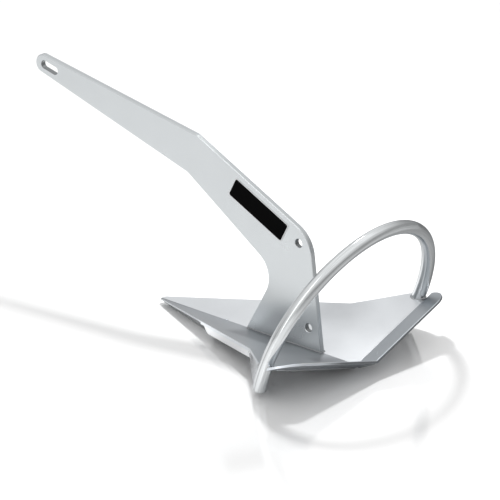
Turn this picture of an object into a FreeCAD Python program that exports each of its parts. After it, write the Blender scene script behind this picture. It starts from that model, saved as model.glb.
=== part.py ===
"""Roll-bar scoop anchor: a welded, galvanised steel boat anchor of about 10 kg.

Every piece is cut from plate or bar and welded to its neighbours, so there are no joints.
The anchor stands upright on the sole of its toe block and on the two skids below its heel.
Millimetres. X runs from the shackle end towards the heel, Y to the right, Z up from the ground.
Stations along X are measured from the tip of the toe, and the finished pieces are then moved
so that the origin lies under the middle of the whole anchor.
"""
import FreeCAD, Part
import math
import os

V = FreeCAD.Vector

# Blade: one steel plate folded to a shallow V, seen from above as an arrowhead
BLADE_T = 5.0             # plate thickness
BLADE_LENGTH = 387.0      # toe tip to heel, along the fold
BLADE_LIFT = 3.0          # underside of the fold above the ground
WING_ANGLE = 15.0         # each wing rises this much, in degrees
NOSE_LENGTH = 4.0         # blunt nose, along the fold
NOSE_HALF = 6.0           # blunt nose, half width
WAIST_X = 278.0           # station where the edges turn outwards
WAIST_HALF = 121.5
CORNER_AHEAD = 39.0       # from the heel's middle forward to the outermost corners
CORNER_HALF = 187.5
HEEL_SWEEP = 12.0         # the heel's corners stand this far ahead of its middle
HEEL_CORNER_IN = 11.5     # and this far inside the outermost corners
BEVEL_FACE = 2.4          # edge height that the toe's grinding leaves
BEVEL_RUN = 7.0           # width of the ground bevel under the edge

# Heel lip: a turned-up strip along the heel, left and right, with rounded tabs behind the bar
LIP_WIDTH = 41.5
LIP_T = 4.0
LIP_ANGLE = 25.4          # rise of the lip, in degrees
LIP_TAB = 24.0            # reach of the tab past the blade's heel corner
LIP_END_R = 40.0          # rounding of the tab, nearly the lip's whole width

# Edge rails: flat bars under the blade's side edges, from the toe block to the waist
RAIL_T = 5.0
RAIL_DEPTH = 15.2         # blade edge and rail together
RAIL_X = 128.0            # station where the rail's ogee starts
RAIL_OGEE = 28.0          # length of the ogee

# Skids: plates from the waist back to the roll bar's feet
SKID_T = 5.0
SKID_STEP = 8.0           # height that the lower edge drops just behind the waist
SKID_STEP_RUN = 9.0
SKID_SOLE_START = 42.0    # run from the waist to the start of the flat sole

# Toe block: a solid steel wedge under the toe
TOE_INSET = 2.0           # from the blade's edge to the block
TOE_START = 19.0          # station of the sole's tip
TOE_END = 150.0           # station of the block's rear face
TOE_SOLE_HALF = 47.0      # half width of the sole at the rear face

# Roll bar: steel pipe bent to one circular arc
PIPE_D = 21.3
PIPE_WALL = 2.6
BAR_RADIUS = 184.0        # to the middle of the pipe
BAR_AHEAD = 26.0          # from the heel's middle forward to the arc's centre
BAR_Z = 60.5
BAR_LEAN = 20.5           # lean of the hoop towards the heel, in degrees
BAR_FOOT = 16.0           # each leg ends this far below the arc's horizontal diameter, in degrees
WELD_GAP = 0.3            # root gap where plate meets the round pipe
NOTCH_PAST = 20.0         # the notches run on this far past the feet, in degrees

# Shank: one plate, profile-cut, standing in the blade's fold
SHANK_T = 9.8
BASE_FRONT_X = 170.5
BASE_REAR_X = 322.3
THROAT_X = 227.7          # corner of the throat before it is rounded
THROAT_Z = 114.6
THROAT_R = 42.6
KNEE_LOW_X = 50.6
KNEE_LOW_Z = 231.1
KNEE_TOP_X = 66.9
KNEE_TOP_Z = 295.7
KNEE_R = 14.0
HEAD_X = -246.3           # centre of the rounded shackle end
HEAD_Z = 333.9
HEAD_R = 14.7
HEAD_FLAT = 0.6           # flat left at the front of the round head
HEEL_X = 292.5            # rear corner before it is rounded
HEEL_Z = 188.5
HEEL_R = 55.0
SHANK_EDGE = 1.2          # ground edges
SLOT_LENGTH = 35.0        # shackle slot, end to end
SLOT_WIDTH = 13.5
SLOT_WALL = 11.5          # steel ahead of the slot
HOLE_D = 13.0             # trip-line holes
HOLE_CHAMFER = 1.0
UPPER_HOLE_X = 271.5
UPPER_HOLE_Z = 174.5
LOWER_HOLE_X = 295.7
LOWER_HOLE_Z = 43.6
SHANK_WELD = 6.0          # leg of the fillet welds along the shank

# Label: a blank plate on the left face of the shank
LABEL_LENGTH = 116.0
LABEL_HEIGHT = 33.5
LABEL_T = 0.6
LABEL_R = 3.0
LABEL_X = 203.5           # station of its middle, at the shank's upper edge
LABEL_DROP = 8.9          # upper edge of the shank to the label's long edge

CORNER_X = BLADE_LENGTH - CORNER_AHEAD
HEEL_CORNER_X = BLADE_LENGTH - HEEL_SWEEP
HEEL_CORNER_HALF = CORNER_HALF - HEEL_CORNER_IN
BAR_X = BLADE_LENGTH - BAR_AHEAD
SLOPE = math.tan(math.radians(WING_ANGLE))
BLADE_V = BLADE_T / math.cos(math.radians(WING_ANGLE))
FOLD_Z = BLADE_LIFT + BLADE_V
SIDES = (("left", -1), ("right", 1))
REACH = 2000.0            # longer than anything here, for cutters
CUT_CLEAR = 10.0          # how far a small cutter stands past what it cuts
TINY = 0.001


def wing_z(half):
    """Height of the wing's upper face at this distance from the fold."""
    return FOLD_Z + SLOPE * half


def prism(points, vector):
    """Solid made by moving a flat polygon along a vector."""
    wire = Part.makePolygon([V(*p) for p in points] + [V(*points[0])])
    return Part.Face(wire).extrude(V(*vector))


def mirrored(shape, side):
    """The right-hand shape, or its mirror image for the left."""
    if side > 0:
        return shape
    return shape.mirror(V(0, 0, 0), V(0, 1, 0))


def rounded(points, radii):
    """Closed wire through flat corner points, each corner rounded to its radius."""
    edges = []
    count = len(points)
    starts = []
    ends = []
    middles = []
    for i in range(count):
        here = points[i]
        back = (points[i - 1] - here).normalize()
        ahead = (points[(i + 1) % count] - here).normalize()
        half = back.getAngle(ahead) / 2
        run = radii[i] / math.tan(half)
        starts.append(here + back * run)
        ends.append(here + ahead * run)
        bisector = (back + ahead).normalize()
        middles.append(here + bisector * (radii[i] / math.sin(half) - radii[i]))
    for i in range(count):
        if radii[i] > 0:
            edges.append(Part.Arc(starts[i], middles[i], ends[i]).toShape())
        after = starts[(i + 1) % count]
        if ends[i].distanceToPoint(after) > TINY:
            edges.append(Part.LineSegment(ends[i], after).toShape())
    return Part.Wire(Part.__sortEdges__(edges))


def bar_axes():
    """Centre, upward direction and turning axis of the roll bar's arc."""
    lean = math.radians(BAR_LEAN)
    centre = V(BAR_X, 0, BAR_Z)
    up = V(math.sin(lean), 0, math.cos(lean))
    axis = V(-math.cos(lean), 0, math.sin(lean))
    return centre, up, axis


def bar_solid(radius, foot):
    """Round bar of this radius along the roll bar's arc, down to this foot angle."""
    centre, up, axis = bar_axes()
    angle = 90 + foot
    start = centre + up * BAR_RADIUS
    disc = Part.Face(Part.Wire(Part.makeCircle(radius, start, V(0, 1, 0))))
    disc.rotate(centre, axis, -angle)
    return disc.revolve(centre, axis, 2 * angle)


def pipe_room():
    """What the plates leave free round the pipe."""
    return bar_solid(PIPE_D / 2 + WELD_GAP, BAR_FOOT + NOTCH_PAST)


def make_roll_bar():
    """Pipe, open at both feet."""
    pipe = bar_solid(PIPE_D / 2, BAR_FOOT)
    return pipe.cut(bar_solid(PIPE_D / 2 - PIPE_WALL, BAR_FOOT))


def edge_half(x):
    """Half width of the blade at a station between the nose and the waist."""
    share = (x - NOSE_LENGTH) / (WAIST_X - NOSE_LENGTH)
    return NOSE_HALF + share * (WAIST_HALF - NOSE_HALF)


def wing():
    """Right half of the blade."""
    outline = [
        (0, 0),
        (NOSE_LENGTH, NOSE_HALF),
        (WAIST_X, WAIST_HALF),
        (CORNER_X, CORNER_HALF),
        (HEEL_CORNER_X, HEEL_CORNER_HALF),
        (BLADE_LENGTH, 0),
    ]
    under = [(x, y, wing_z(y) - BLADE_V) for x, y in outline]
    return prism(under, (0, 0, BLADE_V))


def above_wing():
    """All the space above the plane of the right wing's underside."""
    low = wing_z(0) - BLADE_V
    high = wing_z(REACH) - BLADE_V
    edge = [(-REACH, 0, low), (-REACH, REACH, high), (-REACH, REACH, high + REACH), (-REACH, 0, high + REACH)]
    return prism(edge, (2 * REACH, 0, 0))


def toe_bevel():
    """Wedge that the grinder takes off below the toe's right edge."""
    x = NOSE_LENGTH - CUT_CLEAR
    y = edge_half(x)
    along = V(RAIL_X - x, edge_half(RAIL_X) - y, SLOPE * (edge_half(RAIL_X) - y))
    face_z = wing_z(y) - BEVEL_FACE
    drop = BLADE_V - BEVEL_FACE
    low = 2 * drop
    run = BEVEL_RUN * low / drop
    points = [
        (x, y, face_z),
        (x, y + CUT_CLEAR, face_z),
        (x, y + CUT_CLEAR, face_z - low),
        (x, y - run, face_z - low - SLOPE * run),
    ]
    return prism(points, along)


def make_blade():
    """Both wings in one folded plate, notched for the roll bar."""
    halves = [mirrored(wing().cut(toe_bevel()), side) for name, side in SIDES]
    blade = halves[0].fuse(halves[1]).removeSplitter()
    return blade.cut(pipe_room())


def lip_frame():
    """Start of the heel line, its direction and the lip's direction square to it."""
    start = V(BLADE_LENGTH, 0, FOLD_Z)
    corner = V(HEEL_CORNER_X, HEEL_CORNER_HALF, wing_z(HEEL_CORNER_HALF))
    along = (corner - start).normalize()
    rise = math.radians(LIP_ANGLE)
    across = V(math.cos(rise), 0, math.sin(rise))
    across = (across - along * across.dot(along)).normalize()
    return start, along, across


def make_lip(side):
    """Flat strip along the heel, mitred at the fold, its far end rounded."""
    start, along, across = lip_frame()
    normal = across.cross(along)
    if normal.z > 0:
        normal = normal * -1
    corner = V(HEEL_CORNER_X, HEEL_CORNER_HALF, wing_z(HEEL_CORNER_HALF))
    end = (corner - start).Length + LIP_TAB
    corners = [(-LIP_WIDTH, -2 * LIP_T), (end, -2 * LIP_T), (end, LIP_WIDTH), (-LIP_WIDTH, LIP_WIDTH)]
    points = [start + along * s + across * w for s, w in corners]
    strip = Part.Face(rounded(points, [0, 0, LIP_END_R, 0])).extrude(normal * LIP_T)
    slant = (BLADE_LENGTH - HEEL_CORNER_X) / HEEL_CORNER_HALF
    ahead = [
        (BLADE_LENGTH, 0, -REACH),
        (BLADE_LENGTH - REACH, 0, -REACH),
        (BLADE_LENGTH - REACH, REACH, -REACH),
        (BLADE_LENGTH - slant * REACH, REACH, -REACH),
    ]
    strip = strip.cut(prism(ahead, (0, 0, 2 * REACH)))
    other = Part.makeBox(2 * REACH, REACH, 2 * REACH, V(-REACH, -REACH, -REACH))
    strip = strip.cut(other).cut(pipe_room())
    return mirrored(strip, side)


def waist_mitre():
    """Inner corner of rail and skid at the waist, in plan."""
    a = V(NOSE_LENGTH, NOSE_HALF, 0)
    b = V(WAIST_X, WAIST_HALF, 0)
    c = V(CORNER_X, CORNER_HALF, 0)
    front = (b - a).normalize()
    rear = (c - b).normalize()
    front_in = V(front.y, -front.x, 0)
    rear_in = V(rear.y, -rear.x, 0)
    middle = (front_in + rear_in).normalize()
    return b + middle * (RAIL_T / middle.dot(front_in))


def make_rail(side):
    """Flat bar under the side edge, with an ogee at its front end."""
    front = V(WAIST_X - NOSE_LENGTH, WAIST_HALF - NOSE_HALF, 0).normalize()
    inward = V(front.y, -front.x, 0)
    start = V(RAIL_X, edge_half(RAIL_X), 0)
    waist = V(WAIST_X, WAIST_HALF, 0)
    inner = start + inward * RAIL_T
    plan = [start, waist, waist_mitre(), inner]
    bar = prism([(p.x, p.y, 0) for p in plan], (0, 0, REACH))

    def at(x, depth):
        return V(x, edge_half(x), wing_z(edge_half(x)) - depth)

    half = RAIL_OGEE / 2
    ogee = Part.BezierCurve()
    ogee.setPoles([
        at(RAIL_X, 0),
        at(RAIL_X + half, BLADE_V / 2),
        at(RAIL_X + half, RAIL_DEPTH),
        at(RAIL_X + RAIL_OGEE, RAIL_DEPTH),
    ])
    low = at(WAIST_X, RAIL_DEPTH)
    high = at(WAIST_X, 0)
    edges = [
        ogee.toShape(),
        Part.LineSegment(at(RAIL_X + RAIL_OGEE, RAIL_DEPTH), low).toShape(),
        Part.LineSegment(low, high).toShape(),
        Part.LineSegment(high, at(RAIL_X, 0)).toShape(),
    ]
    face = Part.Face(Part.Wire(edges))
    face.translate(inward * -1)
    profile = face.extrude(inward * (3 * RAIL_T))
    profile = profile.fuse(end_block(waist, front, inward, low.z, high.z))
    return mirrored(bar.common(profile).cut(above_wing()), side)


def end_block(waist, front, inward, low, high):
    """Fills the mitred end of the rail just behind the waist."""
    a = waist - inward
    b = a + front * (2 * RAIL_T)
    c = b + inward * (3 * RAIL_T)
    d = a + inward * (3 * RAIL_T)
    return prism([(p.x, p.y, low) for p in (a, b, c, d)], (0, 0, high - low))


def make_skid(side):
    """Plate under the rear side edge, down to the ground and back to the bar's foot."""
    waist = V(WAIST_X, WAIST_HALF, 0)
    corner = V(CORNER_X, CORNER_HALF, 0)
    rear = (corner - waist).normalize()
    inward = V(rear.y, -rear.x, 0)
    centre, up, axis = bar_axes()
    foot = math.radians(BAR_FOOT)
    low_end = centre + V(0, 1, 0) * (BAR_RADIUS * math.cos(foot)) - up * (BAR_RADIUS * math.sin(foot))
    high_end = centre + V(0, 1, 0) * BAR_RADIUS
    low_run = (low_end - waist).dot(rear)
    high_run = (high_end - waist).dot(rear)
    step_z = wing_z(WAIST_HALF) - RAIL_DEPTH
    top_z = max(BAR_Z, wing_z(CORNER_HALF))
    profile = [
        (0, top_z),
        (0, step_z),
        (SKID_STEP_RUN, step_z - SKID_STEP),
        (SKID_SOLE_START, 0),
        (low_run, 0),
        (high_run, top_z),
    ]
    points = [waist + rear * s for s, z in profile]
    points = [(p.x - inward.x, p.y - inward.y, z) for p, (s, z) in zip(points, profile)]
    plate = prism(points, tuple(inward * (3 * SKID_T)))
    inner = waist_mitre()
    plan = prism([(p.x, p.y, 0) for p in (waist, corner, corner + inward * SKID_T, inner)], (0, 0, REACH))
    plate = plate.common(plan).cut(above_wing())
    return mirrored(plate.cut(pipe_room()), side)


def make_toe_block():
    """Steel wedge that fills the toe between the blade's underside and the ground."""
    under = BLADE_LIFT
    top_half = edge_half(TOE_END) - TOE_INSET - RAIL_T
    tip = V(NOSE_LENGTH, 0, under)
    top = V(TOE_END, top_half, under + SLOPE * top_half)
    fold = V(TOE_END, 0, under)
    sole_tip = V(TOE_START, 0, 0)
    sole = V(TOE_END, TOE_SOLE_HALF, 0)
    sole_mid = V(TOE_END, 0, 0)
    faces = [
        (tip, top, fold),
        (fold, top, sole, sole_mid),
        (sole_tip, sole, sole_mid),
        (tip, top, sole),
        (tip, sole, sole_tip),
        (tip, fold, sole_mid, sole_tip),
    ]
    skins = [Part.Face(Part.makePolygon(list(f) + [f[0]])) for f in faces]
    half = Part.Solid(Part.Shell(skins))
    if half.Volume < 0:
        half.reverse()
    return half.fuse(mirrored(half, -1)).removeSplitter()


def shank_outline():
    """Corner points of the shank's side view, with their roundings."""
    head = V(HEAD_X, 0, HEAD_Z)
    low = V(KNEE_LOW_X, 0, KNEE_LOW_Z)
    top = V(KNEE_TOP_X, 0, KNEE_TOP_Z)
    square = ((low + top) * 0.5 - head).normalize()
    front = head - square * HEAD_R

    def tangent(knee, side):
        """Where the edge from this knee, tangent to the round head, meets the head's front."""
        reach = knee - head
        swing = math.asin(HEAD_R / reach.Length)
        turn = FreeCAD.Rotation(V(0, 1, 0), math.degrees(swing) * side)
        line = turn.multVec(reach)
        run = (front - knee).dot(square) / line.dot(square)
        return knee + line * run

    points = [
        V(BASE_FRONT_X, 0, 0),
        V(THROAT_X, 0, THROAT_Z),
        low,
        tangent(low, -1),
        tangent(top, 1),
        top,
        V(HEEL_X, 0, HEEL_Z),
        V(BASE_REAR_X, 0, 0),
    ]
    head_r = HEAD_R - HEAD_FLAT / 2
    return points, [0, THROAT_R, KNEE_R, head_r, head_r, KNEE_R, HEEL_R, 0], square


def slot_tool(square):
    """Obround cutter for the shackle slot."""
    front = V(HEAD_X, 0, HEAD_Z) + square * (SLOT_WALL - HEAD_R + SLOT_WIDTH / 2)
    rear = front + square * (SLOT_LENGTH - SLOT_WIDTH)
    side = V(-square.z, 0, square.x) * (SLOT_WIDTH / 2)
    sides = (front + side, rear + side, rear - side, front - side)
    middle = prism([tuple(p) for p in sides], (0, SHANK_T * 2, 0))
    ends = [Part.makeCylinder(SLOT_WIDTH / 2, SHANK_T * 2, p, V(0, 1, 0)) for p in (front, rear)]
    tool = middle.fuse(ends)
    tool.translate(V(0, -SHANK_T, 0))
    return tool


def hole_tool(x, z):
    """Through hole with a chamfer at both faces."""
    radius = HOLE_D / 2
    half = SHANK_T / 2
    tool = Part.makeCylinder(radius, SHANK_T, V(x, -half, z), V(0, 1, 0))
    for side in (-1, 1):
        mouth = V(x, side * half, z)
        cone = Part.makeCone(radius + HOLE_CHAMFER, radius, HOLE_CHAMFER, mouth, V(0, -side, 0))
        tool = tool.fuse(cone)
    return tool


def make_shank():
    """Profile-cut plate with ground edges, standing in the fold of the blade."""
    points, radii, square = shank_outline()
    face = Part.Face(rounded(points, radii))
    plate = face.extrude(V(0, SHANK_T, 0))
    plate.translate(V(0, -SHANK_T / 2, 0))
    long_edges = [e for e in plate.Edges if e.BoundBox.YLength < TINY and e.BoundBox.ZMax > FOLD_Z]
    plate = plate.makeChamfer(SHANK_EDGE, long_edges)
    under = [
        (-REACH, 0, FOLD_Z),
        (-REACH, REACH, FOLD_Z + SLOPE * REACH),
        (-REACH, REACH, -REACH),
        (-REACH, -REACH, -REACH),
        (-REACH, -REACH, FOLD_Z + SLOPE * REACH),
    ]
    plate = plate.cut(prism(under, (2 * REACH, 0, 0)))
    plate = plate.cut(slot_tool(square))
    plate = plate.cut(hole_tool(UPPER_HOLE_X, UPPER_HOLE_Z))
    return plate.cut(hole_tool(LOWER_HOLE_X, LOWER_HOLE_Z))


def base_front_x(z):
    """Station of the shank's front edge at this height."""
    return BASE_FRONT_X + (THROAT_X - BASE_FRONT_X) * z / THROAT_Z


def base_rear_x(z):
    """Station of the shank's rear edge at this height."""
    return BASE_REAR_X + (HEEL_X - BASE_REAR_X) * z / HEEL_Z


def make_shank_weld(side):
    """Fillet weld between one face of the shank and the wing."""
    half = SHANK_T / 2
    foot = wing_z(half)
    start = base_front_x(foot) + SHANK_EDGE
    length = base_rear_x(foot) - SHANK_EDGE - start
    points = [
        (start, half, foot),
        (start, half, foot + SHANK_WELD),
        (start, half + SHANK_WELD, wing_z(half + SHANK_WELD)),
    ]
    return mirrored(prism(points, (length, 0, 0)), side)


def make_label():
    """Thin plate with rounded corners on the shank's left face."""
    top = V(KNEE_TOP_X, 0, KNEE_TOP_Z)
    heel = V(HEEL_X, 0, HEEL_Z)
    along = (heel - top).normalize()
    down = V(along.z, 0, -along.x)
    edge = top + along * ((LABEL_X - KNEE_TOP_X) / along.x)
    centre = edge + down * (LABEL_DROP + LABEL_HEIGHT / 2)
    long_half = along * (LABEL_LENGTH / 2)
    high_half = down * (LABEL_HEIGHT / 2)
    corners = [
        centre - long_half - high_half,
        centre + long_half - high_half,
        centre + long_half + high_half,
        centre - long_half + high_half,
    ]
    plate = Part.Face(rounded(corners, [LABEL_R] * 4)).extrude(V(0, -LABEL_T, 0))
    plate.translate(V(0, -SHANK_T / 2, 0))
    return plate


def origin_x():
    """Station under the middle of the anchor's length."""
    centre, up, axis = bar_axes()
    rear = centre.x + up.x * BAR_RADIUS + PIPE_D / 2
    return (HEAD_X - HEAD_R + rear) / 2


def make_all():
    """Every piece by its name, in place."""
    pieces = {
        "blade": make_blade(),
        "shank": make_shank(),
        "roll_bar": make_roll_bar(),
        "toe_block": make_toe_block(),
        "label": make_label(),
    }
    for name, side in SIDES:
        pieces["heel_lip_" + name] = make_lip(side)
        pieces["edge_rail_" + name] = make_rail(side)
        pieces["skid_" + name] = make_skid(side)
        pieces["shank_weld_" + name] = make_shank_weld(side)
    return pieces


os.makedirs("parts", exist_ok=True)
for node, shape in make_all().items():
    shape.translate(V(-origin_x(), 0, 0))
    print(node, len(shape.Solids), "solids", round(shape.Volume / 1000, 1), "cm3", shape.isValid())
    shape.exportStep("parts/" + node + ".step")
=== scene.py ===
"""Looks for the roll-bar scoop anchor: hot-dip galvanised steel on a glossy white studio floor.

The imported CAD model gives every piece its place. Metres; X to the heel, Y to the right, Z up.
"""
import bmesh
import bpy
import math
import numpy as np
from mathutils import Matrix, Vector


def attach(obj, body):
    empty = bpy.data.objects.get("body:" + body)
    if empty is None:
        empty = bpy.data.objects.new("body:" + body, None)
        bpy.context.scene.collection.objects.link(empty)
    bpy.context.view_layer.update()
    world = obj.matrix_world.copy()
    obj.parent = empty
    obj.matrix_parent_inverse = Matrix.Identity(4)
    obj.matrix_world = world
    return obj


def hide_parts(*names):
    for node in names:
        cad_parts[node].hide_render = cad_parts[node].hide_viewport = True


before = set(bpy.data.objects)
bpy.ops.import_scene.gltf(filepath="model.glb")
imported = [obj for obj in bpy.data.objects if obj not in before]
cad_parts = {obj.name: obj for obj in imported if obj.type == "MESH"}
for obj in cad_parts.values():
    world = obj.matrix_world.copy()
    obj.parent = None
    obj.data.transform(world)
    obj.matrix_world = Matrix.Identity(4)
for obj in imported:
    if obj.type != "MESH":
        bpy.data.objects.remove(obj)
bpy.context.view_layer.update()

# Blade. One 5 mm mild steel plate, cut to an arrowhead and folded along the middle, its toe ground
# sharp from below. The whole anchor was dipped in zinc after welding, which rounds every cut edge
# a little and leaves a faint spangle, a soft mottle and a fine orange peel.
MM = 0.001


class Sock:
    """One output of a shader node. Adding, multiplying and so on put Math nodes behind it."""

    def __init__(self, tree, out):
        self.tree = tree
        self.out = out

    def node(self, kind, settings=(), wires=()):
        """A new node: its settings are set first, then its sockets get values or other outputs."""
        new = self.tree.nodes.new("ShaderNode" + kind)
        for name, value in dict(settings).items():
            setattr(new, name, value)
        for name, value in dict(wires).items():
            if isinstance(value, Sock):
                self.tree.links.new(value.out, new.inputs[name])
            else:
                new.inputs[name].default_value = value
        return new

    def get(self, kind, settings=(), wires=(), out=0):
        """The named output of a new node."""
        return Sock(self.tree, self.node(kind, settings, wires).outputs[out])

    def feeds(self, shader, name):
        """Links this output to a socket of a shader."""
        self.tree.links.new(self.out, shader.inputs[name])

    def maths(self, operation, first, second=0.0):
        """A Math node on two values or sockets."""
        return self.get("Math", {"operation": operation}, {0: first, 1: second})

    def __add__(self, other):
        return self.maths("ADD", self, other)

    __radd__ = __add__

    def __sub__(self, other):
        return self.maths("SUBTRACT", self, other)

    def __rsub__(self, other):
        return self.maths("SUBTRACT", other, self)

    def __mul__(self, other):
        return self.maths("MULTIPLY", self, other)

    __rmul__ = __mul__

    def __pow__(self, other):
        return self.maths("POWER", self, other)

    def __abs__(self):
        return self.maths("ABSOLUTE", self)

    def at_least(self, low):
        """The larger of the value and low."""
        return self.maths("MAXIMUM", self, low)

    def clamped(self, low, high):
        """The value carried from low..high to 0..1 with soft ends."""
        return self.get("MapRange", {"interpolation_type": "SMOOTHSTEP"},
                        {"Value": self, "From Min": low, "From Max": high}, "Result")

    def rise(self, low, high):
        """A length carried to 0..1: 0 below low and 1 above high, both in mm, with soft ends."""
        return self.clamped(low * MM, high * MM)

    def fall(self, low, high):
        """1 below low and 0 above high, both in mm, with soft ends."""
        return 1.0 - self.rise(low, high)

    def vector(self, operation, other=(0.0, 0.0, 0.0), out="Vector"):
        """A Vector Math node on this vector and another."""
        return self.get("VectorMath", {"operation": operation}, {0: self, 1: other}, out)

    def dot(self, direction):
        """How far a vector reaches along a direction."""
        return self.vector("DOT_PRODUCT", direction, "Value")

    def parts(self):
        """The X, Y and Z of a vector."""
        outputs = self.node("SeparateXYZ", (), {"Vector": self}).outputs
        return [Sock(self.tree, outputs[name]) for name in "XYZ"]

    def attribute(self, name):
        """The number that the piece's mesh keeps under this name."""
        return self.get("Attribute", {"attribute_name": name}, (), "Fac")

    def noise(self, scale, detail, roughness=0.5):
        """Noise on this vector, with about scale features in each unit of it."""
        wires = {"Vector": self, "Scale": scale, "Detail": detail, "Roughness": roughness}
        return self.get("TexNoise", (), wires, "Fac")

    def mix(self, share, first, second, clamp=True):
        """The colour first + (second - first) * share. A plain colour is given by three numbers."""
        ends = [c if isinstance(c, Sock) else (*c, 1.0) for c in (first, second)]
        settings = {"data_type": "RGBA", "clamp_factor": clamp}
        return self.get("Mix", settings, {0: share, 6: ends[0], 7: ends[1]}, 2)


def new_material(name):
    """An empty material: the material, its Principled shader and a Sock of Object coordinates."""
    material = bpy.data.materials.new(name)
    material.use_nodes = True
    tree = material.node_tree
    place = tree.nodes.new("ShaderNodeTexCoord")
    return material, tree.nodes["Principled BSDF"], Sock(tree, place.outputs["Object"])


def zinc(name, tint, rough, spangle=0.009, mottle=1.0, peel=1.0, painted_off_side_shade=0.0, painted_light_and_tone=None):
    """Galvanised steel on Object coordinates: spangle cells, a soft cloud, fine grain and orange peel.

    The colour is the tint times 1 + 0.28 * shade, where shade adds small weights of the cells, the
    cloud and the grain, each less 0.5. From shade come off a painted shade on the faces that don't
    look sideways, and the painted light and shade, with the pipe's random lines, that the last
    argument gives from the starting Sock. The cloud moves the roughness, and the grain and a ripple
    make the bump.
    """
    material, shader, at = new_material(name)
    cell_share, cloud_share, grain_share = 0.018 * mottle, 0.45 * mottle, 0.05 * mottle
    half_range = 0.14
    cloud_rough = 0.08
    peel_strength, peel_depth = 0.010 * peel, 0.6 * MM
    cells = at.get("TexVoronoi", {"feature": "F1"}, {"Vector": at, "Scale": 1.0 / spangle}, "Color")
    cell = cells.get("SeparateColor", (), {"Color": cells}, "Red")
    cloud = at.noise(17.0, 3.0)
    grain = at.noise(900.0, 2.0)
    ripple = at.noise(70.0, 2.0)
    shade = (cell - 0.5) * cell_share + (cloud - 0.5) * cloud_share + (grain - 0.5) * grain_share
    if painted_off_side_shade:
        shade = shade - (1.0 - at.attribute("sideways")) * painted_off_side_shade
    if painted_light_and_tone is not None:
        shade = shade - painted_light_and_tone(at)
    dark = tuple(c * (1.0 - half_range) for c in tint)
    light = tuple(min(1.0, c * (1.0 + half_range)) for c in tint)
    at.mix(shade + 0.5, dark, light, clamp=False).feeds(shader, "Base Color")
    ((cloud - 0.5) * cloud_rough + rough).feeds(shader, "Roughness")
    height = grain * 0.08 + ripple * 0.92
    wires = {"Height": height, "Strength": peel_strength, "Distance": peel_depth}
    at.get("Bump", (), wires, "Normal").feeds(shader, "Normal")
    shader.inputs["Metallic"].default_value = 1.0
    shader.inputs["Specular Tint"].default_value = (0.74, 0.75, 0.76, 1.0)
    return material


PIPE_R = 10.65 * MM
BAR_R = 184 * MM
BAR_C = np.array((273.456, 0.0, 60.5)) * MM
BAR_LEAN = math.radians(20.5)
BAR_UP = np.array((math.sin(BAR_LEAN), 0.0, math.cos(BAR_LEAN)))
BAR_AXIS = np.array((-math.cos(BAR_LEAN), 0.0, math.sin(BAR_LEAN)))
BAR_FOOT = math.radians(16.0)
SIDEWAYS = np.array((0.0, 1.0, 0.0))


def off_the_pipe(points):
    """Distance of each point from the pipe's middle line.

    It is the hypotenuse of how far the point lies off the hoop's circle, in the hoop's plane, and how
    far it lies beside that plane.
    """
    rel = points - BAR_C
    return np.hypot(np.hypot(rel @ BAR_UP, rel[:, 1]) - BAR_R, rel @ BAR_AXIS)


FOLD_Z = 8.1764 * MM
WING_ANGLE = math.radians(15.0)
SLOPE = math.tan(WING_ANGLE)
PLATE_V = 5.1764 * MM


def wing_top(half):
    """Height of the blade's upper face: the fold's height + the slope * the distance from the fold."""
    return FOLD_Z + SLOPE * half


def mark_faces(mesh, name, direction, along):
    """Keeps 1 under a name for the faces that look along a direction, or for the others if not along.

    A face looks along it, to either side, when its normal reaches along it by 0.5 or more.
    """
    normals = np.zeros(len(mesh.polygons) * 3)
    mesh.polygons.foreach_get("normal", normals)
    looks = np.abs(normals.reshape(-1, 3) @ direction) >= 0.5
    kept = mesh.attributes.new(name, "FLOAT", "FACE")
    kept.data.foreach_set("value", (looks == along).astype(float))


def eased(node, edge, material, part_at=None):
    """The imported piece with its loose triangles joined, its flats whole and its edges rounded by edge.

    An edge is rounded where its faces meet at over 25 degrees, times what part_at gives at its middle,
    and fades to sharp over the last 14 mm before the pipe. Faces that look along Y are marked as
    "sideways" for the material.
    """
    sharp = math.radians(25.0)
    clear, fade = 1.0 * MM, 14 * MM
    mesh = bpy.data.meshes.new(node + "_steel")
    work = bmesh.new()
    work.from_mesh(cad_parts[node].data)
    bmesh.ops.remove_doubles(work, verts=work.verts, dist=1e-6)
    bmesh.ops.dissolve_limit(work, angle_limit=math.radians(0.6), verts=work.verts, edges=work.edges)
    middles = np.array([(e.verts[0].co + e.verts[1].co) / 2 for e in work.edges])
    share = np.clip((off_the_pipe(middles) - PIPE_R - clear) / fade, 0.0, 1.0)
    if part_at is not None:
        share = share * part_at(middles)
    weight = work.edges.layers.float.new("bevel_weight_edge")
    for e, part in zip(work.edges, share):
        corner = e.calc_face_angle(0.0) > sharp
        e[weight] = part if corner else 0.0
        e.smooth = not corner or part > 0.0
    for f in work.faces:
        f.smooth = True
    work.to_mesh(mesh)
    work.free()
    for old in ("custom_normal", "sharp_face"):
        if old in mesh.attributes:
            mesh.attributes.remove(mesh.attributes[old])
    mark_faces(mesh, "sideways", SIDEWAYS, True)
    piece = bpy.data.objects.new(node + "_steel", mesh)
    bpy.context.scene.collection.objects.link(piece)
    mesh.materials.clear()
    mesh.materials.append(material)
    bevel = piece.modifiers.new("edge", "BEVEL")
    bevel.width = edge
    bevel.segments = 3
    bevel.limit_method = "WEIGHT"
    bevel.use_clamp_overlap = False
    flats = piece.modifiers.new("flats", "WEIGHTED_NORMAL")
    flats.weight = 100
    flats.keep_sharp = True
    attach(piece, "root")
    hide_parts(node)
    return piece


def off_the_seams(points):
    """0 on the wings' underside behind the rails' ogee, where plates meet flush, and 1 elsewhere."""
    low = wing_top(np.abs(points[:, 1])) - PLATE_V
    flush = (np.abs(points[:, 2] - low) < 0.05 * MM) & (points[:, 0] > 40.0 * MM)
    return np.where(flush, 0.0, 1.0)


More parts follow.
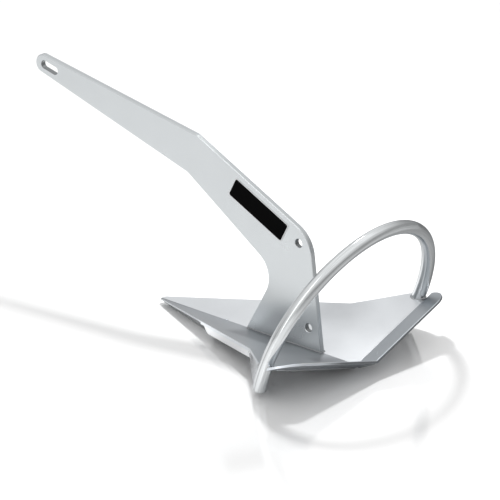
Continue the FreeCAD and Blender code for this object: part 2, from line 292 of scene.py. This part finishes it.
def blade_painted_shading(at):
    """Painted shade and light on the blade: soft patches and spots, each times its weight, added up.

    A patch is a product of ramps on x and y in mm, on one wing or on the side faces. A spot is a ramp
    on the distance from its middle, in mm. Both paint shade where the steel mirrors darker things: on
    the left wing by the shank's foot, by the fold and towards the toe, on the side faces round the toe
    and in one spot on the right wing. A weight below 0 brightens, a painted light: on the side faces
    above the rails, on the right wing by the toe and in a spot near the heel.
    """
    x, y, _ = at.parts()
    side = at.attribute("sideways")
    left = y.fall(-1, 1)
    by_foot = x.rise(80, 92) * x.fall(228, 240) * y.rise(-22, -5) * left
    beside_foot = left * x.rise(85, 110) * x.fall(170, 205) * y.rise(-72, -52) * (1.0 - by_foot * 0.6)
    patches = (
        (by_foot, 0.85),
        (beside_foot, 0.8),
        (left * y.rise(-8, -3) * x.fall(-60, 20), 0.8),  # beside the fold at the toe
        (left * x.rise(245, 270) * y.rise(-75, -50), 0.9),  # by the fold at the heel
        (left * x.fall(60, 200), 0.24),  # the left wing towards the toe
        (side * x.fall(25, 45), 1.0),  # the side faces round the toe
        (side * x.rise(25, 45) * x.fall(180, 190), -0.35),  # the side faces above the rails
        ((1.0 - left) * (1.0 - side) * x.fall(90, 220), -0.45),  # the right wing by the toe
    )
    spots = (
        ((180, 105, 36), 15, 75, 0.45),
        ((290, 38, 18), 20, 95, -0.25),
    )
    dark = sum(patch * weight for patch, weight in patches)
    for middle, near, away, weight in spots:
        off = at.vector("DISTANCE", tuple(v * MM for v in middle), "Value")
        dark = dark + off.fall(near, away) * weight
    return dark


# The blade's broad faces get a painted shade against its side faces, and its patches and spots paint
# shade and light.
blade_zinc = zinc("zinc_blade", (0.83, 0.855, 0.88), 0.33, painted_off_side_shade=0.92, painted_light_and_tone=blade_painted_shading)
eased("blade", 0.6 * MM, blade_zinc, off_the_seams)

# Toe block. A solid steel wedge welded under the toe, the weight that turns the point down. Its
# zinc is rougher than the plates', and its tint is painted darker, as the shade of the floor it mirrors.
toe_zinc = zinc("zinc_toe", (0.53, 0.54, 0.545), 0.42, spangle=0.006, mottle=1.6, peel=2.0)


def off_the_sole(points):
    """0 on the sole's edges, which stay sharp on the ground, and 1 elsewhere."""
    return np.where(points[:, 2] < 2.0 * MM, 0.0, 1.0)


eased("toe_block", 0.4 * MM, toe_zinc, off_the_sole)

# Edge rails and skids. 5 mm steel bars and plates standing under the blade's side edges, welded flush
# with them and dressed, so that blade and rail show as one face.


def rail_painted_light(at):
    """Painted light: brighter by 0.35 on the rails, ahead of the waist, than on the skids behind it."""
    x, _, _ = at.parts()
    return x.fall(180, 190) * -0.35


# Rails and skids get a painted shade on the faces that don't look sideways, and the rails a painted
# light.
plate_zinc = zinc("zinc_plate", (0.84, 0.85, 0.86), 0.28, peel=0.3, painted_off_side_shade=0.90, painted_light_and_tone=rail_painted_light)
for bar in ("edge_rail_left", "edge_rail_right", "skid_left", "skid_right"):
    eased(bar, 0.6 * MM, plate_zinc, off_the_seams)

# Heel lips. 4 mm steel strips turned up along the heel and welded under it, mitred at the fold, with
# their free edges ground round and a quarter-round tab behind each foot of the roll bar.
HEEL = np.array((299.456, 0.0, 8.1764)) * MM
HEEL_ALONG = np.array((-0.06571622, 0.96383784, 0.25825957))
HEEL_ACROSS = np.array((0.90791468, -0.04961925, 0.41620772))
HEEL_NORMAL = np.array((-0.41397139, -0.26182925, 0.87182173))
HEEL_RUN = 182.6 * MM


def lip_rounding(points):
    """1 along a lip's free edge, 0.3 by its seam and its mitre, 0 at the foot of its round tab."""
    seam_width, mitre_width = 6.0 * MM, 2.0 * MM
    tab_x, tab_y = 294.0 * MM, 180.0 * MM
    folded = points * np.array((1.0, 0.0, 1.0)) + np.abs(points) * SIDEWAYS
    seam = ((folded - HEEL) @ HEEL_ACROSS < seam_width) | (folded[:, 1] < mitre_width)
    tab_foot = (folded[:, 0] < tab_x) & (folded[:, 1] > tab_y)
    return np.where(tab_foot, 0.0, np.where(seam, 0.3, 1.0))


def lip_painted_shading(at):
    """Painted shade (1.8) on the free edges below a painted bright rim, and painted light round the left
    tab.

    A point's reach across the lip and its height over it are its offsets from the heel, with y taken
    as positive, along the lip's own directions.
    """
    x, y, z = at.parts()
    place = (x - float(HEEL[0]), abs(y), z - float(HEEL[2]))
    out = sum(part * float(share) for part, share in zip(place, HEEL_ACROSS))
    high = sum(part * float(share) for part, share in zip(place, HEEL_NORMAL))
    free = at.attribute("free_edge")
    by_tab = y.fall(-130, -75)
    # The rim is a painted highlight along the top of each square free edge.
    rim = out.rise(40.0, 40.4) * high.rise(-0.9, -0.6)
    return free * high.fall(-1.3, -0.7) * (1.0 - by_tab) * 1.8 - free * by_tab * 2.0 - rim * 1.7


lip_zinc = zinc("zinc_lip", (0.54, 0.57, 0.60), 0.36, painted_light_and_tone=lip_painted_shading)
for hand, flip in (("left", -1.0), ("right", 1.0)):
    lip = eased("heel_lip_" + hand, 0.7 * MM, lip_zinc, lip_rounding)
    mark_faces(lip.data, "free_edge", HEEL_NORMAL * np.array((1.0, flip, 1.0)), False)

# Shank. One 10 mm steel plate, flame-cut to its profile and stood on the fold. Its cut edges and the
# insides of the slot and the two holes are painted darker, as shade, and its foot is painted
# lighter towards the toe and darker by the weld towards the heel.
HOLES = ((183.956, 174.5), (208.156, 43.6))
SLOT_MIDDLE = (-319.9 * MM, 0.0, 330.7 * MM)
SLOT_ALONG = (0.9743, 0.0, -0.2252)
SLOT_ACROSS = (0.2252, 0.0, 0.9743)
SLOT_HALF_RUN = 10.75 * MM


def shank_painted_shading(at):
    """Painted shade and light on the shank: ramps on x and z at the foot, and shade inside the openings.

    A hole is a distance from its middle in the plate's plane. The slot is the same, but from a line:
    the root of how far past the line's end, squared, plus how far across it, squared.
    """
    x, _, z = at.parts()
    dark = z.fall(9, 30) * 0.8 + z.fall(25, 110) * 0.3
    dark = dark + z.fall(25, 80) * (x.rise(110, 175) * 1.3 - 1.65)
    for hole_x, hole_z in HOLES:
        off = at.vector("SUBTRACT", (hole_x * MM, 0.0, hole_z * MM))
        away = off.vector("MULTIPLY", (1.0, 0.0, 1.0)).vector("LENGTH", out="Value")
        dark = dark + away.fall(6.6, 6.9) * 2.2
    off = at.vector("SUBTRACT", SLOT_MIDDLE)
    past = (abs(off.dot(SLOT_ALONG)) - SLOT_HALF_RUN).at_least(0.0)
    across = off.dot(SLOT_ACROSS)
    away = (past * past + across * across) ** 0.5
    return dark + away.fall(6.85, 7.1) * 1.7


# The cut edges get a painted shade of 0.2, and the foot and the openings their painted light and shade.
shank_zinc = zinc("zinc_shank", (0.61, 0.635, 0.648), 0.26, mottle=0.7, painted_off_side_shade=0.2, painted_light_and_tone=shank_painted_shading)
eased("shank", 0.35 * MM, shank_zinc)

# Roll bar. A 21.3 mm steel pipe bent to one arc, its open feet welded to the wings, the lips and the
# skids. It has a brighter, glossier coat than the plates, with fine lines along it, a painted dark
# line down the left leg and painted shade on one side of the right leg.


def pipe_lines_and_painted_shade(at):
    """Fine lines along the pipe, a painted dark line down the left leg and painted shade on the right
    leg's side.

    The UV map gives the run along the arc and the way round the pipe, both in metres. The lines are
    noise stretched along the run, and the other two are ramps in mm.
    """
    lines_per_metre = (12.0, 560.0, 0.0)
    uv = at.get("UVMap", {"uv_map": "along"}, (), "UV")
    lines = uv.vector("MULTIPLY", lines_per_metre).noise(1.0, 2.0, 0.6)
    run, girth, _ = uv.parts()
    # The first line here is a painted dark reflection down the left leg, and the second painted shade on
    # one side of the right leg.
    seam = abs(girth - 1.8 * MM).fall(0.5, 1.4) * run.fall(-215, -185)
    painted_shaded_side = girth.rise(46, 51) * girth.fall(57, 61) * run.rise(170, 235)
    return (lines - 0.5) * 2.2 + seam * 1.3 + painted_shaded_side * 1.5


pipe_zinc = zinc("zinc_pipe", (0.71, 0.73, 0.74), 0.15, mottle=1.4, peel=1.6, painted_light_and_tone=pipe_lines_and_painted_shade)


def put_mesh(name, points, faces, material, uv=None):
    """A new smooth piece on the anchor, from its points and faces, with an optional UV for each point.

    Where a face spans the seam of the UV map, its low corners get one girth of the pipe added.
    """
    mesh = bpy.data.meshes.new(name)
    mesh.from_pydata(points.reshape(-1, 3), [], faces)
    mesh.polygons.foreach_set("use_smooth", np.ones(len(mesh.polygons), dtype=bool))
    if uv is not None:
        corner = np.zeros(len(mesh.loops), dtype=np.int32)
        mesh.loops.foreach_get("vertex_index", corner)
        quads = uv.reshape(-1, 2)[corner].reshape(-1, 4, 2)
        girth = 2 * math.pi * PIPE_R
        behind = quads[..., 1].max(axis=1, keepdims=True) - quads[..., 1] > girth / 2
        quads[..., 1] += girth * behind
        mesh.uv_layers.new(name="along").data.foreach_set("uv", quads.ravel())
    mesh.materials.append(material)
    mesh.update()
    piece = bpy.data.objects.new(name, mesh)
    bpy.context.scene.collection.objects.link(piece)
    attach(piece, "root")
    return piece


def grid_faces(rows, columns, ring):
    """Faces of a grid closed round its columns: a ring of rows, or a tube whose ends run to two poles.

    The corners of a face are at (row, column), (row + 1, column), (row + 1, column + 1) and (row,
    column + 1), with the last column joined to the first. The poles are the two points after the
    grid's own.
    """
    i = np.arange(rows if ring else rows - 1)[:, None]
    j = np.arange(columns)[None, :]
    here = i * columns
    ahead = (i + 1) % rows * columns
    beside = (j + 1) % columns
    quads = np.stack([here + j, ahead + j, ahead + beside, here + beside], axis=-1)
    faces = quads.reshape(-1, 4).tolist()
    if not ring:
        j = np.arange(columns)
        beside = (j + 1) % columns
        first = np.full(columns, rows * columns)
        last = (rows - 1) * columns
        faces += np.stack([first, j, beside], axis=-1).tolist()
        faces += np.stack([first + 1, last + beside, last + j], axis=-1).tolist()
    return faces


def on_bar(theta, phi, radius):
    """Points round the bent pipe: an angle theta along its arc, phi round it, radius from its middle.

    The arc's outward direction is up * cos(theta) + Y * sin(theta). A point is the arc's centre +
    outward * (184 mm + radius * cos(phi)) + the arc's axis * radius * sin(phi).
    """
    outward = np.cos(theta)[..., None] * BAR_UP + np.sin(theta)[..., None] * SIDEWAYS
    reach = BAR_R + radius * np.cos(phi)
    return BAR_C + outward * reach[..., None] + BAR_AXIS * (radius * np.sin(phi))[..., None]


def make_pipe():
    """Outer skin, bevelled rim, bore and the other rim as one closed grid of theta by phi.

    Its UV is the run along the arc, theta * 184 mm, and the way round the pipe, phi * its radius.
    """
    wall, rim = 2.6 * MM, 0.5 * MM
    along, around = 361, 56
    end = math.pi / 2 + BAR_FOOT
    bore = PIPE_R - wall
    run = np.linspace(-end + rim / BAR_R, end - rim / BAR_R, along)
    theta = np.concatenate([[-end], run, [end], [end], run[::-1], [-end]])
    radius = np.concatenate([[PIPE_R - rim], np.full(along, PIPE_R), [PIPE_R - rim],
                             [bore + rim], np.full(along, bore), [bore + rim]])
    phi = np.linspace(0, 2 * math.pi, around, endpoint=False)
    t, p = np.meshgrid(theta, phi, indexing="ij")
    points = on_bar(t, p, radius[:, None])
    uv = np.stack([t * BAR_R, p * PIPE_R], axis=-1)
    faces = grid_faces(len(theta), around, True)
    return put_mesh("roll_bar_pipe", points, faces, pipe_zinc, uv)


roll_bar = make_pipe()
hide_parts("roll_bar")

# Shank weld. One fillet of weld metal laid all round the shank's foot, hollow in the middle and
# smoothed by the zinc. It is the darkest zinc on the anchor.
fillet_zinc = zinc("zinc_fillet", (0.31, 0.32, 0.33), 0.50, spangle=0.004)
FILLET_LEG = 2.0 * MM
FRONT_LEAN = 0.499
REAR_LEAN = 0.158


def evenly(points, step, *others):
    """A broken line walked in even steps: the new points, their runs along it, and the others there."""
    run = np.concatenate([[0.0], np.cumsum(np.linalg.norm(np.diff(points, axis=0), axis=1))])
    at = np.linspace(0.0, run[-1], max(8, int(round(run[-1] / step))))
    lines = [np.stack([np.interp(at, run, column) for column in line.T], axis=1)
             for line in (points, *others)]
    return (lines[0], at, *lines[1:])


def shank_fillet():
    """Round the foot of the shank, in plan a rectangle with rounded corners.

    Across the bead an angle a runs from the shank to the wing: out from the foot by leg * (1 - cos a),
    above the wing by leg * (1 - sin a), pushed square to that by a small ripple along the bead. At
    the shank's front and rear it leans with their edges, by height * lean. Three more rows close it
    1 mm inside the steel.
    """
    front, rear, half, corner = 88.9 * MM, 233.2 * MM, 4.9 * MM, 1.6 * MM
    pitch, ripple = 2.9 * MM, 0.11 * MM
    steps = 9
    turn = np.linspace(0.0, math.pi / 2, steps)
    turns = np.concatenate([turn + k * math.pi / 2 for k in range(4)] + [[2 * math.pi]])
    hub_x = np.repeat([rear - corner, front + corner, front + corner, rear - corner], steps)
    hub_y = np.repeat([half - corner, half - corner, corner - half, corner - half], steps)
    hubs = np.stack([np.append(hub_x, hub_x[0]), np.append(hub_y, hub_y[0])], axis=1)
    outward = np.stack([np.cos(turns), np.sin(turns)], axis=1)
    foot, s, outward = evenly(hubs + outward * corner, 0.35 * MM, outward)
    foot, s, outward = foot[:-1], s[:-1], outward[:-1]
    a = np.linspace(0.0, math.pi / 2, 13)
    coins = np.sin(2 * math.pi * s / pitch + 1.3 * np.sin(s / (17 * MM)))
    swell = 1.0 + 0.05 * np.sin(s / (11 * MM)) + 0.03 * np.sin(s / (4.3 * MM))
    push = ripple * coins[:, None] * np.sin(2 * a)
    out = FILLET_LEG * swell[:, None] * (1 - np.cos(a)) + push * np.cos(a)
    high = FILLET_LEG * swell[:, None] * (1 - np.sin(a)) + push * np.sin(a)
    buried = np.ones((len(s), 1)) * MM
    out = np.concatenate([out, 3.0 * buried, -1.0 * buried, -1.0 * buried], axis=1)
    high = np.concatenate([high, -1.0 * buried, -1.0 * buried, 3.0 * buried], axis=1)
    lean = np.where(outward[:, 0] < 0, FRONT_LEAN, REAR_LEAN) * -outward[:, 0]
    x = foot[:, :1] + outward[:, :1] * out + np.maximum(high, 0) * lean[:, None]
    y = foot[:, 1:] + outward[:, 1:] * out
    points = np.stack([x, y, wing_top(np.abs(y)) + high], axis=-1)[:, ::-1]
    faces = grid_faces(len(s), out.shape[1], True)
    return put_mesh("shank_fillet", points, faces, fillet_zinc)


fillet = shank_fillet()
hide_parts("shank_weld_left", "shank_weld_right")

# Other welds. Short rippled beads of weld metal where each foot of the pipe meets the wing, the lip
# and the skid, one under each heel seam and one under the mitre, and one down each waist corner.
weld_zinc = zinc("zinc_weld", (0.42, 0.43, 0.44), 0.40, spangle=0.004, mottle=1.4, peel=2.0)


def bead(name, line, lean, width, height, pitch=2.4 * MM):
    """A bead as a closed tube of oval section along a line, lean giving its crown's direction.

    At distance s and angle a it is line(s) + side * width/2 * cos a + lean * height * sin a, drawn in
    to a point over the last width at both ends and rippled by crescents, the sine of the phase
    s + width * cos(a)^2 / 3.
    """
    around = 18
    line, s, lean = evenly(line, 0.4 * MM, lean * np.ones_like(line))
    tangent = np.gradient(line, s, axis=0)
    tangent /= np.linalg.norm(tangent, axis=1, keepdims=True)
    lean = lean - tangent * np.sum(lean * tangent, axis=1, keepdims=True)
    lean /= np.linalg.norm(lean, axis=1, keepdims=True)
    side = np.cross(tangent, lean)
    a = np.linspace(0.0, 2 * math.pi, around, endpoint=False)
    inside = s[1:-1]
    to_end = np.clip(np.minimum(s, s[-1] - s)[1:-1] / width, 0.0, 1.0)
    fade = np.sqrt(1 - (1 - to_end) ** 2)
    swell = fade * (1.0 + 0.07 * np.sin(inside / (5.1 * MM)) + 0.05 * np.sin(inside / (2.3 * MM) + 1.0))
    phase = 2 * math.pi * (inside[:, None] + width * np.cos(a) ** 2 / 3) / pitch
    grow = (swell[:, None] * (1.0 + 0.07 * np.sin(phase)))[..., None]
    across = (side[1:-1, None] * (width / 2 * np.cos(a))[:, None]
              + lean[1:-1, None] * (height * np.sin(a))[:, None])
    rows = (line[1:-1, None] + across * grow).reshape(-1, 3)
    points = np.concatenate([rows, line[:1], line[-1:]])
    return put_mesh(name, points, grid_faces(len(inside), around, False), weld_zinc)


def on_plane(phi, point, normal, radius):
    """Where the pipe's skin crosses a plane, for angles phi round the right leg, by Newton's steps."""
    step = 1e-4
    theta = np.full(phi.shape, math.pi / 2)
    for _ in range(14):
        here = (on_bar(theta, phi, radius) - point) @ normal
        ahead = (on_bar(theta + step, phi, radius) - point) @ normal
        theta = theta - here * step / (ahead - here)
    return on_bar(theta, phi, radius)


def pipe_out(points):
    """Direction square to the pipe's skin at points on it: away from the nearest of its middle line."""
    rel = points - BAR_C
    ring = rel @ BAR_UP
    spoke = ring[:, None] * BAR_UP + rel[:, 1:2] * SIDEWAYS
    middle = BAR_C + BAR_R * spoke / np.hypot(ring, rel[:, 1])[:, None]
    away = points - middle
    return away / np.linalg.norm(away, axis=1, keepdims=True)


def on_skid(theta, point, normal, radius):
    """Where the pipe's skin crosses an upright plane, for angles theta down the right leg.

    There A cos(phi) + B sin(phi) = K, so phi is the angle of (A, B) plus the arc cosine of K over the
    length of (A, B).
    """
    outward = np.cos(theta)[:, None] * BAR_UP + np.sin(theta)[:, None] * SIDEWAYS
    a, b = radius * (outward @ normal), radius * (BAR_AXIS @ normal)
    k = -((BAR_C - point) @ normal + BAR_R * (outward @ normal))
    phi = np.arctan2(b, a) + np.arccos(np.clip(k / np.hypot(a, b), -1.0, 1.0))
    return on_bar(theta, phi, radius)


# The beads' lines on the right-hand side: round the pipe where it stands on the wing, behind it on
# the lip and down it on the skid, under the heel seam, and down the waist's corner.
WING_UP = np.array((0.0, -math.sin(WING_ANGLE), math.cos(WING_ANGLE)))
SKID_OUT = np.array((-0.6860, 0.7276, 0.0))
WAIST = np.array((190.456, 121.5, 0.0)) * MM
skin = PIPE_R + 0.1 * MM
inner = np.radians(np.linspace(88, 262, 80))
at_wing = on_plane(inner, HEEL, WING_UP, skin)
behind = np.radians(np.linspace(212, 318, 60))
at_lip = on_plane(behind, HEEL, HEEL_NORMAL, skin)
down = np.linspace(math.pi / 2 + 0.03, math.pi / 2 + BAR_FOOT - 0.015, 60)
at_skid = on_skid(down, WAIST, SKID_OUT, skin)
heel_run = HEEL_ALONG * np.linspace(4 * MM, HEEL_RUN - 19 * MM, 60)[:, None]
heel_line = HEEL + heel_run - np.array((0, 0, 4.7 * MM))
waist = np.array([(190.2, 121.8, z) for z in np.linspace(34.0, 27.5, 8)]) * MM
beads = (
    ("weld_bar_wing_", at_wing, pipe_out(at_wing) + WING_UP, 2.2 * MM, 0.7 * MM),
    ("weld_bar_lip_", at_lip, pipe_out(at_lip) + HEEL_NORMAL, 3.2 * MM, 1.4 * MM),
    ("weld_bar_skid_", at_skid, pipe_out(at_skid) + SKID_OUT, 3.6 * MM, 1.4 * MM),
    ("weld_heel_", heel_line, np.array((0.1, 0.0, -1.0)), 6.0 * MM, 1.5 * MM),
    ("weld_waist_", waist, np.array((-0.35, 0.94, 0.0)), 2.2 * MM, 0.8 * MM),
)
for hand, flip in (("left", -1.0), ("right", 1.0)):
    mirror = np.array((1.0, flip, 1.0))
    for name, line, lean, width, height in beads:
        bead(name + hand, line * mirror, lean * mirror, width, height)
mitre_run = np.array((0.9033, 0.0, 0.4290)) * np.linspace(3 * MM, 39 * MM, 40)[:, None]
mitre = HEEL + mitre_run - np.array((0, 0, 4.3 * MM))
bead("weld_mitre", mitre, np.array((0.42, 0.0, -0.9)), 6.0 * MM, 1.6 * MM)

# Spatter. Drops of weld metal that stuck to the heel and the waist, and a run of zinc that froze on
# the fold. The dip coated them together with the steel they sit on.


def spatter(name, spots, material):
    """Closed low domes in one mesh, each from its centre, its normal, radius and height in mm.

    A point at angles a round and b down the dome is the centre + radius * sin b * (cos a, sin a) in
    the plane, with a two-fold and a five-fold wobble of the radius, + height * cos b along the normal.
    """
    around, down = 20, 10
    spots = np.array(spots)
    centre, normal = spots[:, :3] * MM, spots[:, 3:6]
    normal = normal / np.linalg.norm(normal, axis=1, keepdims=True)
    first = np.cross(normal, (0.0, 1.0, 0.3))
    first /= np.linalg.norm(first, axis=1, keepdims=True)
    second = np.cross(normal, first)
    a = np.linspace(0.0, 2 * math.pi, around, endpoint=False)
    b = np.linspace(0.0, math.pi, down + 2)[1:-1]
    b, a = np.meshgrid(b, a, indexing="ij")
    turn = np.arange(len(spots))[:, None, None]
    wobble = 1 + 0.12 * np.sin(2 * a + turn) + 0.08 * np.sin(5 * a + 2 * turn)
    radius = spots[:, 6, None, None] * MM * wobble
    flat = (radius * np.sin(b) * np.cos(a))[..., None] * first[:, None, None]
    flat = flat + (radius * np.sin(b) * np.sin(a))[..., None] * second[:, None, None]
    rise = (spots[:, 7, None, None] * MM * np.cos(b))[..., None] * normal[:, None, None]
    domes = (centre[:, None, None] + flat + rise).reshape(len(spots), -1, 3)
    poles = centre[:, None] + normal[:, None] * (spots[:, 7, None] * MM * (1.0, -1.0))[..., None]
    points = np.concatenate([domes, poles], axis=1)
    dome = grid_faces(down, around, False)
    each = points.shape[1]
    faces = [[corner + k * each for corner in face] for k in range(len(spots)) for face in dome]
    return put_mesh(name, points, faces, material)


LIP_UP = (-0.414, -0.262, 0.872)
spatter("heel_spatter", [
    (318.5, 24.5, 24.7, *LIP_UP, 2.4, 0.7),
    (324.6, 18.5, 25.6, *LIP_UP, 1.7, 0.6),
    (314.0, 29.6, 24.0, *LIP_UP, 1.3, 0.5),
    (329.6, 14.5, 26.5, *LIP_UP, 1.2, 0.5),
    (304.3, 55.3, 27.1, *LIP_UP, 1.3, 0.5),
    (322.1, 67.3, 39.2, *LIP_UP, 1.0, 0.4),
], lip_zinc)
spatter("fold_drip", [(44.0, 0.0, 8.0, 0.0, 0.0, 1.0, 2.8, 1.5)], lip_zinc)
spatter("waist_spatter", [
    (190.0, -121.2, 31.8, -0.3, -0.9, 0.1, 1.8, 0.6),
    (193.4, -124.5, 27.5, -0.69, -0.73, 0.0, 1.5, 0.5),
    (186.2, -119.6, 33.4, -0.39, -0.92, 0.0, 1.6, 0.4),
    (196.0, -127.2, 22.4, -0.69, -0.73, 0.0, 1.7, 0.5),
    (192.1, -123.2, 20.6, -0.69, -0.73, 0.0, 1.2, 0.4),
], plate_zinc)

# Label. A blank plate of black film with a pale rim, stuck to the left face of the shank. Its finish
# is satin, with a faint orange peel and a slightly greyer, rubbed edge.
LABEL_HALF_LONG = 58.0 * MM
LABEL_HALF_SHORT = 16.75 * MM
LABEL_CORNER = 4.5 * MM
LABEL_RIM_START = 1.3 * MM
LABEL_RIM_END = 1.1 * MM
film, film_shader, film_at = new_material("label_film")


def label_place():
    """The label's middle, its long direction and its short one, from its own corners in the frame.

    The directions are those in which its corners spread most and least, in the shank's plane.
    """
    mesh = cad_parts["label"].data
    corners = np.zeros(len(mesh.vertices) * 3)
    mesh.vertices.foreach_get("co", corners)
    corners = corners.reshape(-1, 3)
    middle = (corners.min(axis=0) + corners.max(axis=0)) / 2
    flat = (corners - middle)[:, [0, 2]]
    spread = np.linalg.eigh(flat.T @ flat)[1]
    return middle, (spread[0, 1], 0.0, spread[1, 1]), (spread[0, 0], 0.0, spread[1, 0])


label_middle, label_long, label_short = label_place()


def past_corner(direction, reach):
    """How far a point lies past the straight part of one side, along a direction from the middle."""
    away = abs(film_at.dot(direction) - float(np.dot(label_middle, direction)))
    return (away - (reach - LABEL_CORNER)).at_least(0.0)


long_off = past_corner(label_long, LABEL_HALF_LONG)
short_off = past_corner(label_short, LABEL_HALF_SHORT)
edge_way = (long_off * long_off + short_off * short_off) ** 0.5
label_rim = edge_way.clamped(LABEL_CORNER - LABEL_RIM_START, LABEL_CORNER - LABEL_RIM_END)
rubbed = film_at.noise(300.0, 3.0)
haze = film_at.noise(40.0, 2.0)
film_black = film_at.mix(haze * 0.8, (0.0006, 0.0006, 0.0007), (0.0018, 0.0018, 0.002))
film_colour = film_at.mix(label_rim * (rubbed * 0.3 + 0.7), film_black, (0.86, 0.87, 0.88))
film_colour.feeds(film_shader, "Base Color")
(rubbed * 0.16 + 0.30).feeds(film_shader, "Roughness")
film_peel = {"Height": haze, "Strength": 0.05, "Distance": 0.4 * MM}
film_at.get("Bump", (), film_peel, "Normal").feeds(film_shader, "Normal")
film_shader.inputs["Specular IOR Level"].default_value = 0.02
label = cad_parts["label"]
label.data.materials.clear()
label.data.materials.append(film)

# Floor. A sheet of glossy white acrylic, lit until it is nearly white. For the steel and its own
# reflections it is greyer on the heel's side, so that the metal has something dark to show.
FLOOR_HALF = 60
FLOOR_WHITE = (0.93, 0.93, 0.93)
FLOOR_GREY = (0.25, 0.25, 0.25)
FLOOR_GLOSS = 0.25
FLOOR_GLOW = 0.20
floor_mesh = bpy.data.meshes.new("floor")
floor_mesh.from_pydata([(-FLOOR_HALF, -FLOOR_HALF, 0), (FLOOR_HALF, -FLOOR_HALF, 0),
                        (FLOOR_HALF, FLOOR_HALF, 0), (-FLOOR_HALF, FLOOR_HALF, 0)], [], [(0, 1, 2, 3)])
floor = bpy.data.objects.new("floor", floor_mesh)
bpy.context.scene.collection.objects.link(floor)
acrylic = bpy.data.materials.new("floor_acrylic")
acrylic.use_nodes = True
floor_tree = acrylic.node_tree
floor_tree.nodes.clear()
spot = Sock(floor_tree, floor_tree.nodes.new("ShaderNodeNewGeometry").outputs["Position"])
floor_rays = floor_tree.nodes.new("ShaderNodeLightPath")
seen = Sock(floor_tree, floor_rays.outputs["Is Camera Ray"])
lighting = Sock(floor_tree, floor_rays.outputs["Is Diffuse Ray"])
heelward = spot.dot((0.707, 0.707, 0.0)).clamped(0.1, 0.4)
beyond = spot.parts()[0].clamped(0.42, 0.62)
dim = (1.0 - seen) * heelward * (1.0 - beyond * 0.42)
white = spot.mix(dim, FLOOR_WHITE, FLOOR_GREY)
matt = spot.get("BsdfDiffuse", (), {"Color": white}, "BSDF")
gloss = spot.get("BsdfGlossy", (), {"Color": (1.0, 1.0, 1.0, 1.0), "Roughness": 0.12}, "BSDF")
surface = spot.get("MixShader", (), {0: FLOOR_GLOSS, 1: matt, 2: gloss}, "Shader")
far = spot.vector("LENGTH", out="Value").clamped(0.25, 0.9)
glow = spot.mix(far * (1.0 - lighting) * (1.0 - dim), (0.0, 0.0, 0.0), (1.0, 1.0, 1.0))
lift = spot.get("Emission", (), {"Color": glow, "Strength": FLOOR_GLOW}, "Emission")
total = spot.get("AddShader", (), {0: surface, 1: lift}, "Shader")
spot.node("OutputMaterial", (), {"Surface": total})
floor_mesh.materials.append(acrylic)

# Studio. White all round for the camera. The steel sees a grey room, lighter towards the toe, on the
# left and overhead, with a bright strip light and two soft patches. A small key lamp lights it.
world = bpy.data.worlds.new("studio")
bpy.context.scene.world = world
world.use_nodes = True
sky_tree = world.node_tree
sky_tree.nodes.clear()
sky = Sock(sky_tree, sky_tree.nodes.new("ShaderNodeTexCoord").outputs["Generated"])
upward = sky.parts()[2]


def facing(towards):
    """Cosine of the angle from a direction of the room."""
    length = math.sqrt(sum(v * v for v in towards))
    return sky.dot(tuple(v / length for v in towards))


def patch(towards, edge, middle):
    """1 within the middle angle of a direction of the room and 0 outside the edge angle, in degrees."""
    return facing(towards).clamped(math.cos(math.radians(edge)), math.cos(math.radians(middle)))


def blend(first, second, share):
    """From the first value to the second as share goes from 0 to 1."""
    return first + (second - first) * share


heel_side = upward.clamped(0.15, 0.95) * 0.64 + 0.39
toe_side = upward * upward * 0.60 + 0.62
near_side = upward * 0.42 + 0.72
room = blend(heel_side, toe_side, facing((-1.0, 0.0, 0.0)).clamped(0.25, 0.85))
room = blend(room, near_side, facing((-0.10, -0.995, 0.0)).clamped(0.45, 0.87))
strip = 1.0 - abs(facing((0.999, 0.035, 0.0))).clamped(0.02, 0.08)
strip = strip * facing((0.035, -0.999, 0.0)).clamped(0.1, 0.3) * (1.0 - upward.clamped(0.75, 0.92))
ahead = patch((-0.583, 0.722, 0.372), 17, 7)
above = patch((-0.09, 0.41, 0.90), 15, 5)
room = room + strip * 2.4 + ahead * 0.38 + above * 0.2
sky_rays = sky_tree.nodes.new("ShaderNodeLightPath")
for_camera = Sock(sky_tree, sky_rays.outputs["Is Camera Ray"])
for_diffuse = Sock(sky_tree, sky_rays.outputs["Is Diffuse Ray"])
CAMERA_LEVEL = 1.0
DIFFUSE_LEVEL = 0.80
level = blend(blend(room, CAMERA_LEVEL, for_camera), DIFFUSE_LEVEL, for_diffuse)
lit = sky.get("Background", (), {"Color": (1.0, 1.0, 1.0, 1.0), "Strength": level}, "Background")
sky.node("OutputWorld", (), {"Surface": lit})


def lamp(name, size, watts):
    """A square soft lamp, high on the right, that faces the middle of the anchor's ground."""
    distance = 0.825
    light = bpy.data.lights.new(name, "AREA")
    light.shape = "SQUARE"
    light.size = size
    light.energy = watts
    holder = bpy.data.objects.new(name, light)
    bpy.context.scene.collection.objects.link(holder)
    direction = Vector((-0.051, 0.268, 0.779)).normalized()
    holder.location = direction * distance
    holder.rotation_euler = direction.to_track_quat("Z", "Y").to_euler()
    holder.visible_camera = False
    return holder


key = lamp("key", 0.09, 6.2)
key.visible_glossy = False
shine = lamp("key_shine", 0.06, 0.75)
shine.visible_diffuse = False

# Camera. A very long lens at the photograph's angle, worked out from the hoop, the flat shank and the
# wings' symmetry.
lens = bpy.data.cameras.new("camera")
lens.lens = 338.4
lens.sensor_width = 36.0
lens.clip_end = 200.0
camera = bpy.data.objects.new("camera", lens)
bpy.context.scene.collection.objects.link(camera)
camera_right = Vector((0.77128371, 0.63596436, 0.02589943))
camera_up = Vector((-0.25556201, 0.27216, 0.92769445))
aim = Matrix((camera_right, camera_up, camera_right.cross(camera_up))).transposed().to_4x4()
camera.matrix_world = Matrix.Translation((4.25228556, -5.16026008, 2.79699915)) @ aim
bpy.context.scene.camera = camera
bpy.context.scene.view_settings.view_transform = "Standard"
